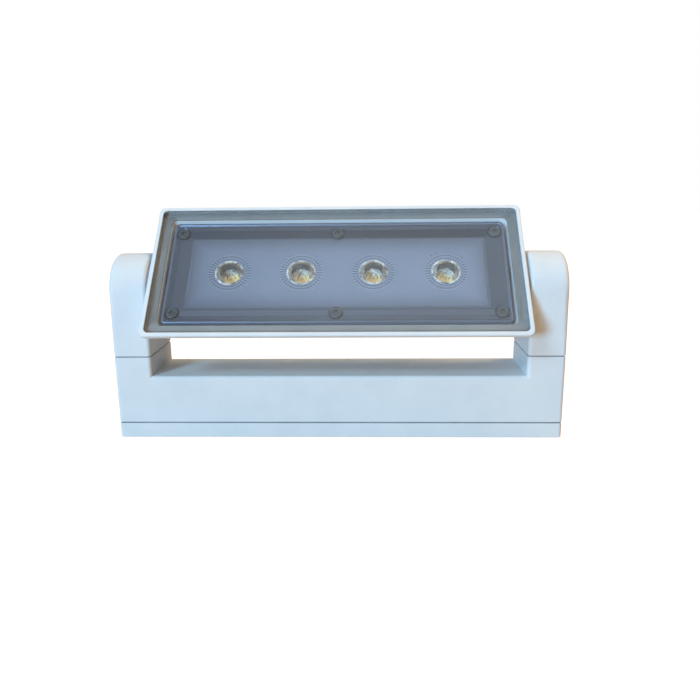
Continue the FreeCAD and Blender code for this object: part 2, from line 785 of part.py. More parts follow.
def front_glass():
    """Clear toughened glass, flush in the rim."""
    return rounded_slab(half_glass_x, half_glass_z, glass_corner, front, front + glass_thick)


def glass_seal():
    """Pale silicone frame that beds the glass on the ledge."""
    back = front + ledge_depth
    seal = rounded_slab(half_glass_x, half_glass_z, glass_corner, back - glass_seal_thick, back)
    window = rounded_slab(half_glass_x - ledge_width, half_glass_z - ledge_width, opening_corner,
                          back - glass_seal_thick - overrun, back + overrun)
    return seal.cut(window)


def lens_tray():
    """Pressed tray with a raised lip, a sloped border, six screw seats and four lens windows."""
    half_x = half_glass_x - tray_inset
    half_z = half_glass_z - tray_inset
    floor_y = front + tray_floor_depth
    back_y = floor_y + tray_floor_thick
    band_y = front + tray_band_depth
    tray = rounded_slab(half_x, half_z, tray_corner, front + tray_lip_depth, back_y)
    inner_x = half_x - tray_lip_width
    inner_z = half_z - tray_lip_width
    well = rounded_slab(inner_x, inner_z, tray_corner / 2, front, band_y)
    slope_x = inner_x - tray_band_width
    slope_z = inner_z - tray_band_width
    drop = floor_y - band_y
    slope = tapered_slab(slope_x, slope_z, tray_corner, band_y, floor_y,
                         tray_slope_x / drop, tray_slope_z / drop)
    tray = tray.cut(well).cut(slope)
    seat_y = front + tray_seat_depth
    for x, z in tray_screw_places():
        tray = tray.cut(rod(tray_seat_radius, Vector(x, front, z), Vector(x, seat_y, z)))
        tray = tray.cut(rod(m4_radius + hole_gap, Vector(x, front, z), Vector(x, back_y + overrun, z)))
    for x in lens_places():
        tray = tray.cut(rod(lens_window_radius, Vector(x, front, 0), Vector(x, back_y + overrun, 0)))
    return tray


def tray_screws():
    """Six pan-head screws that hold the tray on the housing's posts."""
    seat_y = front + tray_seat_depth
    grip = tray_floor_depth + tray_floor_thick - tray_seat_depth
    seats = [Vector(x, seat_y, z) for x, z in tray_screw_places()]
    bite = grip + tray_screw_bite
    return Part.makeCompound([pan_screw(m4_radius, seat, Vector(0, 1, 0), bite) for seat in seats])


def lens(x):
    """Collimating lens: a crowned disc in the tray's window, a flange behind it and a cone to the LED."""
    face = front + tray_floor_depth - lens_rise
    tray_back = front + tray_floor_depth + tray_floor_thick
    flange_back = tray_back + lens_flange_thick
    foot = -board_top - led_base - tip_gap
    rim_radius = lens_window_radius - lens_window_gap
    apex = Vector(0, face - lens_crown, 0)
    crown_end = Vector(lens_core_radius, face, 0)
    chord = lens_core_radius ** 2 / (2 * lens_crown)
    sphere = chord + lens_crown / 2
    half_step = lens_core_radius / 2
    crown_mid = Vector(half_step, face - lens_crown + sphere - math.sqrt(sphere ** 2 - half_step ** 2), 0)
    points = [crown_end, Vector(rim_radius, face, 0), Vector(rim_radius, tray_back, 0),
              Vector(lens_flange_radius, tray_back, 0), Vector(lens_flange_radius, flange_back, 0),
              Vector(lens_core_radius, flange_back, 0), Vector(lens_foot_radius, foot, 0),
              Vector(lens_well_radius, foot, 0), Vector(lens_well_radius, foot - lens_well_depth, 0),
              Vector(0, foot - lens_well_depth, 0), apex]
    edges = [Part.Arc(apex, crown_mid, crown_end).toShape()]
    edges += [Part.LineSegment(a, b).toShape() for a, b in zip(points[:-1], points[1:])]
    body = turned(Part.Wire(edges), Vector(0, 0, 0), Vector(0, 1, 0))
    body.translate(Vector(x, 0, 0))
    return body


def connector_x():
    """Centre of the connector along the board: just clear of the first lens's holder."""
    lowest = connector_z - connector_width / 2
    holder_half = math.sqrt(holder_radius ** 2 - lowest ** 2)
    return lens_places()[0] - holder_half - connector_gap - connector_length / 2


def board_half_length():
    """Half length of the light board, which reaches just past the connector."""
    return connector_length / 2 + connector_margin - connector_x()


def lens_holders():
    """Moulded rings that stand on the light board and press the lens flanges to the tray."""
    start = front + tray_floor_depth + tray_floor_thick + lens_flange_thick
    return Part.makeCompound([ring(holder_radius - holder_wall, holder_radius, Vector(x, start, 0),
                                   Vector(x, -board_top, 0)) for x in lens_places()])


def led_board():
    """Aluminium-core light board."""
    half_x = board_half_length()
    half_z = board_width / 2
    board = rounded_slab(half_x, half_z, edge_radius, -board_top, -board_top + board_thick)
    for x, z in board_screw_places():
        board = board.cut(rod(m3_radius + hole_gap, Vector(x, front, z), Vector(x, 0, z)))
    return board


def board_screws():
    """Four pan-head screws that pull the light board onto its pad."""
    grip = board_thick + pad_thick
    return Part.makeCompound([pan_screw(m3_radius, Vector(x, -board_top, z), Vector(0, 1, 0),
                                        grip + board_screw_bite) for x, z in board_screw_places()])


def thermal_pad():
    """Soft heat-conducting sheet between the board and the housing."""
    half_x = board_half_length()
    half_z = board_width / 2
    start = -board_top + board_thick
    pad = rounded_slab(half_x, half_z, edge_radius, start, start + pad_thick)
    for x, z in board_screw_places():
        pad = pad.cut(rod(m3_radius + hole_gap, Vector(x, front, z), Vector(x, 0, z)))
    return pad


def leds():
    """Four LEDs: a square ceramic base with a round phosphor dome."""
    pieces = []
    for x in lens_places():
        base = Part.makeBox(led_side, led_base, led_side,
                            Vector(x - led_side / 2, -board_top - led_base, -led_side / 2))
        dome = Part.makeSphere(led_dome_radius, Vector(x, -board_top - led_base, 0))
        behind = Part.makeBox(led_side, led_side, led_side,
                              Vector(x - led_side / 2, -board_top - led_base, -led_side / 2))
        pieces.append(base.fuse(dome.cut(behind)).removeSplitter())
    return Part.makeCompound(pieces)


def board_connector():
    """Lead connector at the left end of the light board."""
    x = connector_x()
    low = Vector(x - connector_length / 2, -board_top - connector_height, connector_z - connector_width / 2)
    return Part.makeBox(connector_length, connector_height, connector_width, low)


def board_lead():
    """The lead's second length, from the hollow pivot to the board's connector."""
    level = -board_top - connector_height / 2
    end_x = connector_x() - connector_length / 2
    mouth = barrel_end - barrel_end_wall - tube_seal_thick - tube_flange_thick
    step_x = end_x - connector_length
    points = [Vector(-arm_inner, 0, 0), Vector(-mouth + connector_width, 0, 0),
              Vector(step_x, level, connector_z), Vector(end_x, level, connector_z)]
    return pipe_along(points, lead_radius)


def base_nodes():
    """Everything that stays still on the wall."""
    return {
        "wall_plate": wall_plate(),
        "plate_seal": plate_seal(),
        "cable_grommet": cable_grommet(),
        "base_housing": base_housing(),
        "housing_screws": housing_screws(),
        "driver": driver(),
        "driver_screws": driver_screws(),
        "terminal_block": terminal_block(),
        "terminal_screw": terminal_screw(),
        "earth_screw": earth_screw(),
        "driver_lead": driver_lead(),
        "arm_right": arm_right(),
        "arm_left": mirrored(arm_right()),
        "arm_seal_right": arm_seal_right(),
        "arm_seal_left": mirrored(arm_seal_right()),
        "arm_screws": arm_screws(),
        "friction_washer_right": friction_washer(),
        "friction_washer_left": mirrored(friction_washer()),
        "pivot_seals": pivot_seals(),
    }


def head_nodes():
    """Everything that tilts, in the head's own frame."""
    nodes = {
        "head_housing": head_housing(),
        "front_glass": front_glass(),
        "glass_seal": glass_seal(),
        "lens_tray": lens_tray(),
        "tray_screws": tray_screws(),
        "lens_holders": lens_holders(),
        "led_board": led_board(),
        "board_screws": board_screws(),
        "thermal_pad": thermal_pad(),
        "leds": leds(),
        "board_connector": board_connector(),
        "board_lead": board_lead(),
        "pivot_tube_right": pivot_tube(),
        "pivot_tube_left": mirrored(pivot_tube()),
        "pivot_nut_right": pivot_nut(),
        "pivot_nut_left": mirrored(pivot_nut()),
        "spring_washer_right": spring_washer(),
        "spring_washer_left": mirrored(spring_washer()),
        "tube_seals": tube_seals(),
    }
    for number, x in enumerate(lens_places(), start=1):
        nodes["lens_%d" % number] = lens(x)
    return nodes


os.makedirs("parts", exist_ok=True)
for name, shape in base_nodes().items():
    shape.exportStep("parts/%s.step" % name)
for name, shape in head_nodes().items():
    tilted(shape).exportStep("parts/%s.step" % name)
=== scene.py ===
import bpy
import bmesh
import math
from mathutils import Matrix, Vector


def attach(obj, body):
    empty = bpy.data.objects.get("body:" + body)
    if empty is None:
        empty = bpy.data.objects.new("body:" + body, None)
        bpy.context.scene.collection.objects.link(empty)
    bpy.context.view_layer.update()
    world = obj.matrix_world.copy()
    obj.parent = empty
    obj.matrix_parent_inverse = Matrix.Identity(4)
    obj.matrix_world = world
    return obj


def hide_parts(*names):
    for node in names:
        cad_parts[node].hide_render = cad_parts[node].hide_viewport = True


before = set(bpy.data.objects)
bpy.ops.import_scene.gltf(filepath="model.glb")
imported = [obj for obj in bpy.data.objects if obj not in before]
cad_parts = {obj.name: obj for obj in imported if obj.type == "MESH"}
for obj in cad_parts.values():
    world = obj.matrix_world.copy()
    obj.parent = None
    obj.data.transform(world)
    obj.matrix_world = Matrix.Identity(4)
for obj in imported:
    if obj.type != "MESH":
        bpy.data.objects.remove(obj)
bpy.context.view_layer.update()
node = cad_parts

# Camera, a little to the right of the light's middle and above it, looking slightly down.
# Its place and angles were fitted to the photograph's own edges, in metres and degrees.
view_place = (0.02360, -0.47134, 0.17007)
view_yaw = math.radians(-1.965)
view_pitch = math.radians(13.717)
view_roll = math.radians(-0.607)
view_data = bpy.data.cameras.new("photo_view")
view_data.sensor_width = 36.0
view_data.lens = 35.863
view_data.clip_start = 0.02
view_data.clip_end = 30.0
photo_view = bpy.data.objects.new("photo_view", view_data)
bpy.context.scene.collection.objects.link(photo_view)
view_turn = (Matrix.Rotation(-view_yaw, 4, "Z") @ Matrix.Rotation(math.pi / 2 - view_pitch, 4, "X")
             @ Matrix.Rotation(view_roll, 4, "Z"))
photo_view.matrix_world = Matrix.Translation(view_place) @ view_turn
bpy.context.scene.camera = photo_view


# White castings: wall plate, base housing, two arm caps and the head's housing.
# They are die-cast aluminium with a satin powder coat, which has a very fine orange peel
# and is a little duller where hands and dust have been.
def node_tools(tree):
    """Empties a node tree; gives back a maker of its nodes and a maker of its links."""
    tree.nodes.clear()

    def add(kind, **settings):
        """Each setting fills the socket of that name, or else the node's own field."""
        made = tree.nodes.new(kind)
        for key, value in settings.items():
            socket_name = key.replace("_", " ")
            if socket_name in made.inputs:
                made.inputs[socket_name].default_value = value
            else:
                setattr(made, key, value)
        return made

    return add, tree.links.new


def new_material(name):
    """An empty node material, with the makers of its nodes and links."""
    material = bpy.data.materials.new(name)
    material.use_nodes = True
    return (material, *node_tools(material.node_tree))


def linear(red, green, blue):
    """A colour as it looks on screen, 0 to 255, in the renderer's own scale."""
    steps = []
    for part in (red, green, blue):
        share = part / 255
        steps.append(share / 12.92 if share <= 0.04045 else ((share + 0.055) / 1.055) ** 2.4)
    return (*steps, 1.0)


def finish_material(name, shades, rough, grain, relief, metallic=0.0, specular=0.5, cloud=38.0):
    """A surface with a cloudy colour between two shades, uneven gloss and a fine relief.

    shades: two screen colours; rough: least and most roughness; grain: size of the relief in
    metres; relief: its height in metres; cloud: how many clouds there are in a metre."""
    material, add, link = new_material(name)
    place = add("ShaderNodeTexCoord")
    clouds = add("ShaderNodeTexNoise", Scale=cloud, Detail=5.0, Roughness=0.6)
    link(place.outputs["Object"], clouds.inputs["Vector"])
    spread = add("ShaderNodeValToRGB")
    for end, position, shade in zip(spread.color_ramp.elements, (0.36, 0.64), shades):
        end.position = position
        end.color = linear(*shade)
    link(clouds.outputs["Fac"], spread.inputs["Fac"])
    smears = add("ShaderNodeTexNoise", Scale=95.0, Detail=4.0, Roughness=0.65)
    link(place.outputs["Object"], smears.inputs["Vector"])
    gloss = add("ShaderNodeMapRange", From_Min=0.3, From_Max=0.7, To_Min=rough[0], To_Max=rough[1])
    link(smears.outputs["Fac"], gloss.inputs["Value"])
    peel = add("ShaderNodeTexNoise", Scale=1.0 / grain, Detail=2.0, Roughness=0.5)
    link(place.outputs["Object"], peel.inputs["Vector"])
    bump = add("ShaderNodeBump", Strength=1.0, Distance=relief)
    link(peel.outputs["Fac"], bump.inputs["Height"])
    shader = add("ShaderNodeBsdfPrincipled", Metallic=metallic, Specular_IOR_Level=specular)
    link(spread.outputs["Color"], shader.inputs["Base Color"])
    link(gloss.outputs["Result"], shader.inputs["Roughness"])
    link(bump.outputs["Normal"], shader.inputs["Normal"])
    output = add("ShaderNodeOutputMaterial")
    link(shader.outputs["BSDF"], output.inputs["Surface"])
    return material


def dress(material, *names):
    """Gives carried-over CAD pieces their finish."""
    for name in names:
        node[name].data.materials[0] = material


casting_white = finish_material("casting_white", ((212, 222, 230), (218, 227, 234)), (0.48, 0.60),
                                grain=0.0011, relief=0.000010, specular=0.08)
dress(casting_white, "wall_plate", "base_housing", "arm_left", "arm_right", "head_housing")


# Cable grommet and the rubber rings of the pivots: moulded black rubber. The grommet is
# pressed into the wall plate, the rings seal the pivot tubes in the arms and in the head.
rubber_black = finish_material("rubber_black", ((26, 26, 28), (38, 38, 40)), (0.55, 0.75),
                               grain=0.0005, relief=0.000015)
dress(rubber_black, "cable_grommet", "pivot_seals", "tube_seals")


# Inside the base: potted driver in a white plastic case, grey terminal block, brass earth
# screw in a cast boss, and the sleeved lead that runs up through the left arm.
driver_white = finish_material("driver_white", ((214, 214, 210), (224, 224, 220)), (0.45, 0.6),
                               grain=0.0006, relief=0.00001)
terminal_grey = finish_material("terminal_grey", ((196, 198, 196), (208, 210, 208)), (0.4, 0.55),
                                grain=0.0005, relief=0.000008)
brass_yellow = finish_material("brass_yellow", ((184, 150, 84), (200, 168, 100)), (0.26, 0.4),
                               grain=0.0003, relief=0.000006, metallic=1.0)
sleeve_grey = finish_material("sleeve_grey", ((70, 72, 76), (84, 86, 90)), (0.45, 0.6),
                              grain=0.0004, relief=0.00001)
dress(driver_white, "driver")
dress(terminal_grey, "terminal_block")
dress(brass_yellow, "earth_screw")
dress(sleeve_grey, "driver_lead")


# Joint strips: soft rubber gaskets between plate, housing and arms, cut from sheet and
# set back from the faces, so that each joint reads as a thin dark line.
gasket_grey = finish_material("gasket_grey", ((104, 118, 126), (116, 130, 138)), (0.6, 0.75),
                              grain=0.0004, relief=0.000012)
gasket_pale = finish_material("gasket_pale", ((128, 138, 148), (140, 150, 160)), (0.6, 0.75),
                              grain=0.0004, relief=0.000012)
dress(gasket_grey, "plate_seal")
dress(gasket_pale, "arm_seal_left", "arm_seal_right")


# Steel fasteners and pivots: stainless screws, nuts, spring washers and hollow pivot tubes,
# turned or cold-headed and left bright.
steel_bright = finish_material("steel_bright", ((168, 170, 172), (192, 194, 196)), (0.24, 0.36),
                               grain=0.0003, relief=0.000006, metallic=1.0)
dress(steel_bright, "housing_screws", "arm_screws", "driver_screws", "board_screws",
      "terminal_screw", "pivot_tube_left", "pivot_tube_right", "pivot_nut_left",
      "pivot_nut_right", "spring_washer_left", "spring_washer_right")


# Pivot washers: pale nylon rings between the head's end barrels and the arms. They are
# turned from rod, and their friction holds the tilt.
nylon_pale = finish_material("nylon_pale", ((150, 160, 168), (164, 173, 180)), (0.4, 0.55),
                             grain=0.0005, relief=0.000008)
dress(nylon_pale, "friction_washer_left", "friction_washer_right")


# Light engine: white aluminium-core board screwed down on its grey thermal pad, with four LEDs
# under yellow phosphor, the moulded holders that centre the lenses over them, and the connector
# for the sleeved lead from the left pivot.
board_white = finish_material("board_white", ((228, 230, 228), (238, 239, 236)), (0.4, 0.5),
                              grain=0.0006, relief=0.000005)
pad_grey = finish_material("pad_grey", ((120, 128, 134), (134, 142, 148)), (0.7, 0.8),
                           grain=0.0006, relief=0.00001)
holder_white = finish_material("holder_white", ((214, 218, 220), (224, 228, 230)), (0.4, 0.5),
                               grain=0.0006, relief=0.000006)
phosphor_painted_glow = finish_material("phosphor_painted_glow", ((216, 188, 116), (236, 214, 158)),
                                  (0.35, 0.5), grain=0.0003, relief=0.00001)
# The LEDs are off; the phosphor's faint emission is a painted glow.
phosphor_shader = phosphor_painted_glow.node_tree.nodes["Principled BSDF"]
phosphor_shader.inputs["Emission Color"].default_value = (1.0, 0.76, 0.36, 1.0)
phosphor_shader.inputs["Emission Strength"].default_value = 0.2
dress(board_white, "led_board")
dress(pad_grey, "thermal_pad")
dress(holder_white, "lens_holders")
dress(phosphor_painted_glow, "leds")
dress(terminal_grey, "board_connector")
dress(sleeve_grey, "board_lead")


# Lenses: moulded clear acrylic collimators. Each has a clear cone with a crowned face over its
# LED, whose yellow disc shows at the cone's foot, and a flat outer ring with a fine pillow
# pattern, which fills the tray's window. Profiles give radius and depth behind the ring's face.
pivot_height = 0.098
rest_tilt = math.radians(42)
head_turn = (Matrix.Translation((0.0, 0.0, pivot_height))
             @ Matrix.Rotation(-rest_tilt, 4, "X"))
glass_face = -0.025
lens_face = glass_face + 0.00745
lens_centres = (-0.07125, -0.02375, 0.02375, 0.07125)
lens_weld = 0.000004
ring_sides, cone_sides, disc_sides = 280, 96, 48
ring_profile = ([(0.0092, 0.0014), (0.0092, 0.0002)]
                + [(0.0094 + 0.000305 * step, 0.0) for step in range(21)])
core_profile = [(0.0, -0.0014), (0.0025, -0.00135), (0.0048, -0.0012), (0.0066, -0.0010),
                (0.0078, -0.0007), (0.0083, -0.0004), (0.0085, 0.0002), (0.0083, 0.0012),
                (0.0076, 0.0030), (0.0067, 0.0048), (0.0057, 0.0064), (0.0047, 0.0080),
                (0.0041, 0.0088), (0.0028, 0.0088), (0.0026, 0.0058), (0.0016, 0.0051),
                (0.0, 0.0048)]
rim_profile = [(0.0084, 0.0), (0.0085, -0.0005), (0.0087, -0.0008), (0.0089, -0.0008),
               (0.0091, -0.00055), (0.0093, -0.0006), (0.0095, -0.0006), (0.0097, -0.0004),
               (0.0098, 0.0001)]
collar_profile = [(0.0088, 0.0007), (0.0086, 0.0014), (0.0081, 0.0026), (0.0075, 0.0038),
                  (0.0066, 0.0054), (0.0060, 0.0064)]
cup_profile = [(0.0060, 0.0064), (0.0057, 0.0070), (0.0049, 0.0084), (0.0044, 0.0093)]
phosphor_profile = [(0.0044, 0.0093), (0.0034, 0.0094), (0.0018, 0.0094)]
pattern_start, pattern_end = (0.0094, 0.0102), (0.0136, 0.0150)
pattern_rise = 0.00003
groove_count, groove_least = 40, 0.15
hoop_start, hoop_pitch, hoop_least = 0.0092, 0.0021, 0.10
# The rings' painted shade: a plain tone like the tray's, and the stripes of their pattern.
plain_mark, swell_shade, groove_shade, hoop_shade = 0.33, 0.02, 0.52, 0.44
# The dark tone that painted shade pulls the rings' and the tray's colours towards.
painted_shade_tone = (0.32, 0.32, 0.33, 1.0)

# The tray's floor, whose slight crown the rings follow.
floor_crown = 0.0006
floor_half_z = 0.0278

# A Mix node's colour sockets: two colours in, one out.
mix_first, mix_second, mix_result = 6, 7, 2


def ease(value, low, high):
    """Smooth rise from 0 to 1 between two values."""
    share = min(max((value - low) / (high - low), 0.0), 1.0)
    return share * share * (3 - 2 * share)


def pillows(angle, radius):
    """Shift and painted shade of the outer ring: grooves crossed by hoops, dying out at its edges.

    The grooves are strongest at its two sides, the hoops at its top and foot. The shift also
    follows the crown of the tray's floor."""
    swell = ease(radius, *pattern_start) * (1.0 - ease(radius, *pattern_end))
    crown = floor_crown * (1.0 - (radius * math.sin(angle) / floor_half_z) ** 2)
    groove_height = swell * (groove_least + (1 - groove_least) * abs(math.cos(angle)))
    groove = groove_height * math.sin(groove_count * angle)
    hoop_height = swell * (hoop_least + (1 - hoop_least) * abs(math.sin(angle)))
    hoop = hoop_height * math.sin(2 * math.pi * (radius - hoop_start) / hoop_pitch)
    # Painted shade: a plain tone, striped with painted light and shade along grooves and hoops.
    mark = plain_mark + swell_shade * swell - groove_shade * groove - hoop_shade * hoop
    return pattern_rise * (groove + hoop) - crown, max(mark, 0.0)


def smooth(angle, radius):
    """Shift and mark of a piece without a pattern: none."""
    return 0.0, 0.0


def spun(profile, centre_x, sides, pattern):
    """Turns a profile about a lens axis; the pattern shifts each point and paints its shade."""
    shape = bmesh.new()
    shade_mark = shape.verts.layers.float.new("painted_shade")
    loops = []
    for step in range(sides):
        angle = 2 * math.pi * step / sides
        loop = []
        for radius, depth in profile:
            shift, mark = pattern(angle, radius)
            made = shape.verts.new((centre_x + radius * math.cos(angle), lens_face + depth + shift,
                                    radius * math.sin(angle)))
            made[shade_mark] = mark
            loop.append(made)
        loops.append(loop)
    for k in range(sides):
        here, after = loops[k], loops[(k + 1) % sides]
        for j in range(len(profile) - 1):
            shape.faces.new((here[j], after[j], after[j + 1], here[j + 1]))
    bmesh.ops.remove_doubles(shape, verts=shape.verts, dist=lens_weld)
    return shape


def add_head_piece(name, shape, material):
    """A smooth mesh, turned into the head's place, as an object that rides on the head."""
    bmesh.ops.transform(shape, matrix=head_turn, verts=shape.verts)
    mesh = bpy.data.meshes.new(name)
    shape.to_mesh(mesh)
    shape.free()
    for face in mesh.polygons:
        face.use_smooth = True
    mesh.materials.append(material)
    piece = bpy.data.objects.new(name, mesh)
    bpy.context.scene.collection.objects.link(piece)
    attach(piece, "head")
    return piece


def clear_material(name, tint, ior, rough, relief=0.0):
    """Clear glass or plastic that bends the view through it and lets the lamps' light pass.

    relief: height in metres of the fine pebbles on its surface, if it has any."""
    material, add, link = new_material(name)
    place = add("ShaderNodeTexCoord")
    film = add("ShaderNodeTexNoise", Scale=22.0, Detail=6.0, Roughness=0.6)
    link(place.outputs["Object"], film.inputs["Vector"])
    gloss = add("ShaderNodeMapRange", To_Min=rough[0], To_Max=rough[1])
    link(film.outputs["Fac"], gloss.inputs["Value"])
    body = add("ShaderNodeBsdfPrincipled", Base_Color=tint, IOR=ior, Transmission_Weight=1.0)
    link(gloss.outputs["Result"], body.inputs["Roughness"])
    if relief > 0:
        pebbles = add("ShaderNodeTexNoise", Scale=620.0, Detail=2.0, Roughness=0.5)
        link(place.outputs["Object"], pebbles.inputs["Vector"])
        bump = add("ShaderNodeBump", Strength=1.0, Distance=relief)
        link(pebbles.outputs["Fac"], bump.inputs["Height"])
        link(bump.outputs["Normal"], body.inputs["Normal"])
    passing = add("ShaderNodeBsdfTransparent", Color=tint)
    ray = add("ShaderNodeLightPath")
    either = add("ShaderNodeMath", operation="MAXIMUM")
    link(ray.outputs["Is Shadow Ray"], either.inputs[0])
    link(ray.outputs["Is Diffuse Ray"], either.inputs[1])
    choice = add("ShaderNodeMixShader")
    link(either.outputs["Value"], choice.inputs[0])
    link(body.outputs["BSDF"], choice.inputs[1])
    link(passing.outputs["BSDF"], choice.inputs[2])
    output = add("ShaderNodeOutputMaterial")
    link(choice.outputs["Shader"], output.inputs["Surface"])
    return material


def paint_shade_by_mark(material):
    """Painted shade: pulls a finish's colour towards a dark tone by the mesh's own values."""
    tree = material.node_tree
    shader = tree.nodes["Principled BSDF"]
    painted_shade = tree.nodes.new("ShaderNodeAttribute")
    painted_shade.attribute_name = "painted_shade"
    shade_mix = tree.nodes.new("ShaderNodeMix")
    shade_mix.data_type = "RGBA"
    shade_mix.blend_type = "MULTIPLY"
    shade_mix.inputs[mix_second].default_value = painted_shade_tone
    tree.links.new(painted_shade.outputs["Fac"], shade_mix.inputs["Factor"])
    plain_colour = shader.inputs["Base Color"].links[0].from_socket
    tree.links.new(plain_colour, shade_mix.inputs[mix_first])
    tree.links.new(shade_mix.outputs[mix_result], shader.inputs["Base Color"])


# The rings' lacquer, darkened by their painted shade and its stripes of painted light and shade.
ring_satin = finish_material("ring_satin", ((158, 179, 210), (162, 183, 213)), (0.29, 0.32),
                             grain=0.0009, relief=0.0000005, metallic=0.85)
paint_shade_by_mark(ring_satin)
acrylic_clear = clear_material("acrylic_clear", (0.98, 0.99, 1.0, 1.0), ior=1.2,
                               rough=(0.0, 0.02), relief=0.0005)
# Lens rims, flecked dark blue-grey to near-white: painted highlights.
rim_painted_glints = finish_material("rim_painted_glints", ((64, 78, 98), (238, 243, 246)), (0.12, 0.2),
                             grain=0.0005, relief=0.000002, cloud=240.0)
# Collars, nearly black: painted shade round the upper part of each cone.
collar_painted_shade = finish_material("collar_painted_shade", ((30, 32, 34), (96, 98, 98)), (0.2, 0.3),
                           grain=0.0004, relief=0.000004, cloud=260.0)
# Cups, flecked dark to near-white: painted glints and streaks seen through the cone.
cup_painted_glints = finish_material("cup_painted_glints", ((86, 86, 82), (236, 236, 230)), (0.2, 0.3),
                            grain=0.0004, relief=0.000004, cloud=300.0)
lens_parts = (("lens_ring_%d", ring_profile, ring_sides, pillows, ring_satin),
              ("lens_core_%d", core_profile, cone_sides, smooth, acrylic_clear),
              ("lens_rim_%d", rim_profile, cone_sides, smooth, rim_painted_glints),
              ("lens_collar_%d", collar_profile, cone_sides, smooth, collar_painted_shade),
              ("lens_cup_%d", cup_profile, cone_sides, smooth, cup_painted_glints))
for number, centre in enumerate(lens_centres, start=1):
    for name, profile, sides, pattern, material in lens_parts:
        shape = spun(profile, centre, sides, pattern)
        # The core is closed, and clear plastic bends light rightly only if its faces look out.
        if material == acrylic_clear:
            bmesh.ops.recalc_face_normals(shape, faces=shape.faces)
        part = add_head_piece(name % number, shape, material)
        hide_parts("lens_%d" % number)
    shape = spun(phosphor_profile, centre, disc_sides, smooth)
    phosphor = add_head_piece("led_phosphor_%d" % number, shape, phosphor_painted_glow)


# Lens tray: pressed metal with a satin blue-grey lacquer. A raised lip runs round it, inside it
# a level band and a slope lead down to a slightly crowned floor with six screw seats and four
# round windows. Pairs of numbers say where a change of level or of shade begins and ends.
# Painted shade on band, slopes and floor edges; painted highlights on lip and lower slope.
tray_half_x = 0.1113
tray_half_z = 0.0393
tray_corner = 0.003
lip_depth = 0.0052
lip_width = 0.0016
lip_round, lip_edge = 0.0003, (0.0, 0.0005)
band_drop, band_edge = 0.0011, (0.0012, 0.0021)
slope_inset = 0.0054
slope_width_x = 0.0074
slope_width_z = 0.0061
slope_drop = 0.0014
crease_depth = 0.00012
crease_rise, crease_fall = (0.90, 1.0), (1.04, 1.16)
crown_rise = (1.0, 1.3)
floor_half_x = 0.0985
seat_places = [(x, z) for x in (-0.1052, 0.0, 0.1052) for z in (-0.0314, 0.0314)]
seat_depth = 0.0076
seat_reach, seat_wall = 0.0052, (0.0042, 0.0047)
window_radius = 0.0155
window_catch = 0.0006
skirt_back = -0.0163
# Where painted shade steps down at the floor's edge, and where it fades out over the floor.
floor_shade, floor_shade_fade = (-0.0004, 0.0006), (-0.002, 0.015)
low_slope_start, low_slope_end = (0.0284, 0.0290), (0.0334, 0.0338)
# How much lighter the lower slope is painted: a painted highlight.
low_slope_painted_highlight = 0.55
mitre_blur = (-0.001, 0.001)
lip_highlight_edge = (0.8, 1.2)
fine_step = 0.00045
wide_step = 0.001
fine_x = ((-0.1120, -0.0965), (-0.0052, 0.0047), (0.0965, 0.1120))
fine_z = ((-0.0400, -0.0262), (0.0262, 0.0400))
tray_weld = 0.00002


def tray_level(x, z):
    """Depth of the tray's front surface behind the glass's face."""
    inset_x = tray_half_x - abs(x)
    inset_z = tray_half_z - abs(z)
    inset = min(inset_x, inset_z)
    if inset_x < tray_corner and inset_z < tray_corner:
        inset = tray_corner - math.hypot(tray_corner - inset_x, tray_corner - inset_z)
    level = lip_depth - lip_round * ease(inset, *lip_edge) + band_drop * ease(inset, *band_edge)
    slope_x = (tray_half_x - slope_inset - abs(x)) / slope_width_x
    slope_z = (tray_half_z - slope_inset - abs(z)) / slope_width_z
    run = min(slope_x, slope_z)
    level += slope_drop * min(max(run, 0.0), 1.0)
    level += crease_depth * ease(run, *crease_rise) * (1.0 - ease(run, *crease_fall))
    level -= floor_crown * ease(run, *crown_rise) * max(1.0 - (z / floor_half_z) ** 2, 0.0)
    for seat_x, seat_z in seat_places:
        reach = math.hypot(x - seat_x, z - seat_z)
        if reach < seat_reach:
            level += (seat_depth - level) * (1.0 - ease(reach, *seat_wall))
    return level


def tray_painted_shade(x, z):
    """Painted shade on the tray: full on band and slopes, half on the lip, none in mid-floor."""
    in_floor = min(floor_half_x - abs(x), floor_half_z - abs(z))
    mark = 1.0 - 0.5 * ease(in_floor, *floor_shade) - 0.5 * ease(in_floor, *floor_shade_fade)
    # The lower slope is painted lighter away from the corners: a painted highlight.
    if z < 0:
        low_slope = ease(-z, *low_slope_start) * (1.0 - ease(-z, *low_slope_end))
        past_mitre = floor_half_x - abs(x) + (-z - floor_half_z)
        mark -= low_slope_painted_highlight * low_slope * ease(past_mitre, *mitre_blur)
    # The lip is painted at half the shade: a painted highlight.
    lip_share = min(tray_half_x - abs(x), tray_half_z - abs(z)) / lip_width
    return mark * (0.5 + 0.5 * ease(lip_share, *lip_highlight_edge))


def tray_point(x, z):
    """A grid point, drawn in to a rounded corner or on to the edge of a window close by."""
    over_x = abs(x) - (tray_half_x - tray_corner)
    over_z = abs(z) - (tray_half_z - tray_corner)
    if over_x > 0 and over_z > 0 and math.hypot(over_x, over_z) > tray_corner:
        pull = tray_corner / math.hypot(over_x, over_z)
        x = math.copysign(tray_half_x - tray_corner + over_x * pull, x)
        z = math.copysign(tray_half_z - tray_corner + over_z * pull, z)
    for centre in lens_centres:
        reach = math.hypot(x - centre, z)
        if abs(reach - window_radius) < window_catch:
            x = centre + (x - centre) * window_radius / reach
            z = z * window_radius / reach
    return x, z


def grid_lines(half, fine_zones):
    """Positions from -half to half, close together inside the zones and wider elsewhere."""
    lines = [-half]
    while lines[-1] < half:
        here = lines[-1]
        close = any(low - wide_step < here < high for low, high in fine_zones)
        lines.append(min(here + (fine_step if close else wide_step), half))
    return lines


